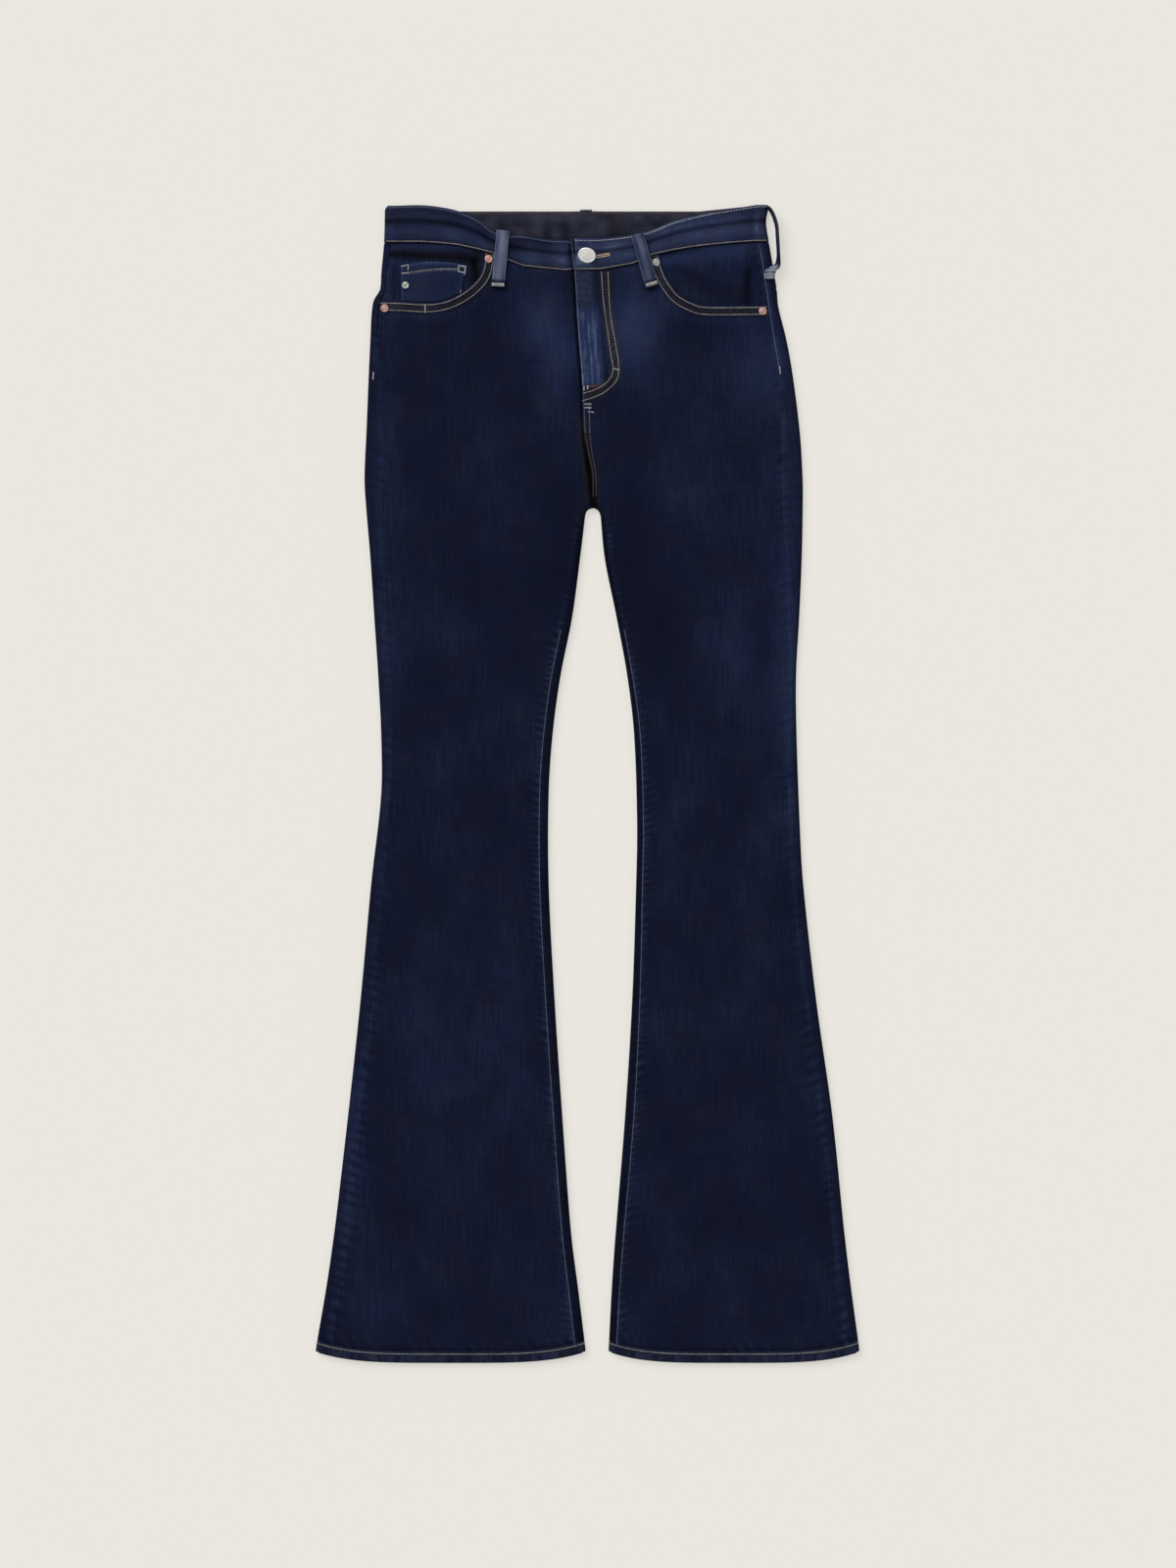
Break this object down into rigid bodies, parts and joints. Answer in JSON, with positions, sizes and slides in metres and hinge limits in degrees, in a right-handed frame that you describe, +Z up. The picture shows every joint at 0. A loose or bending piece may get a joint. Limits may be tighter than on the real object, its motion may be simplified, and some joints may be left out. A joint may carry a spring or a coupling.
{
  "type": "bootcut jeans",
  "caption": "Dark stretch-denim bootcut jeans laid flat, front up, with flared legs, curved front pockets, a buttoned fly and belt loops.",
  "frame": {"origin": "on the surface that the jeans lie on, under the middle of their outline", "axes": "+Z up through the front of the garment, +Y from the hems to the waist, +X towards the wearer's left leg"},
  "size_m": [0.5352, 1.1392, 0.0169],
  "materials": {
    "denim": "dark indigo twill, matt, worn lighter along seams and edges",
    "loop_denim": "the same denim worn paler",
    "thread": "grey-gold topstitching thread",
    "silver": "bright silver shank button",
    "copper": "dull antique copper rivets",
    "steel": "dull grey rivet and stud"
  },
  "bodies": {
    "root": {"front_panel_right": "denim", "back_panel_right": "denim", "back_yoke_right": "denim", "pocket_facing_right": "denim", "back_pocket_right": "denim", "hem_right": "denim", "front_panel_left": "denim", "back_panel_left": "denim", "back_yoke_left": "denim", "pocket_facing_left": "denim", "back_pocket_left": "denim", "hem_left": "denim", "coin_pocket": "denim", "waistband": "denim", "belt_loop_front_right": "loop_denim", "belt_loop_front_left": "loop_denim", "belt_loop_side_left": "loop_denim", "belt_loop_side_right": "loop_denim", "belt_loop_centre_back": "loop_denim", "button": "silver", "coin_pocket_stud": "steel", "rivet_right_waist": "copper", "rivet_right_side": "copper", "rivet_left_side": "copper", "rivet_left_waist": "steel"}
  },
  "joints": []
}
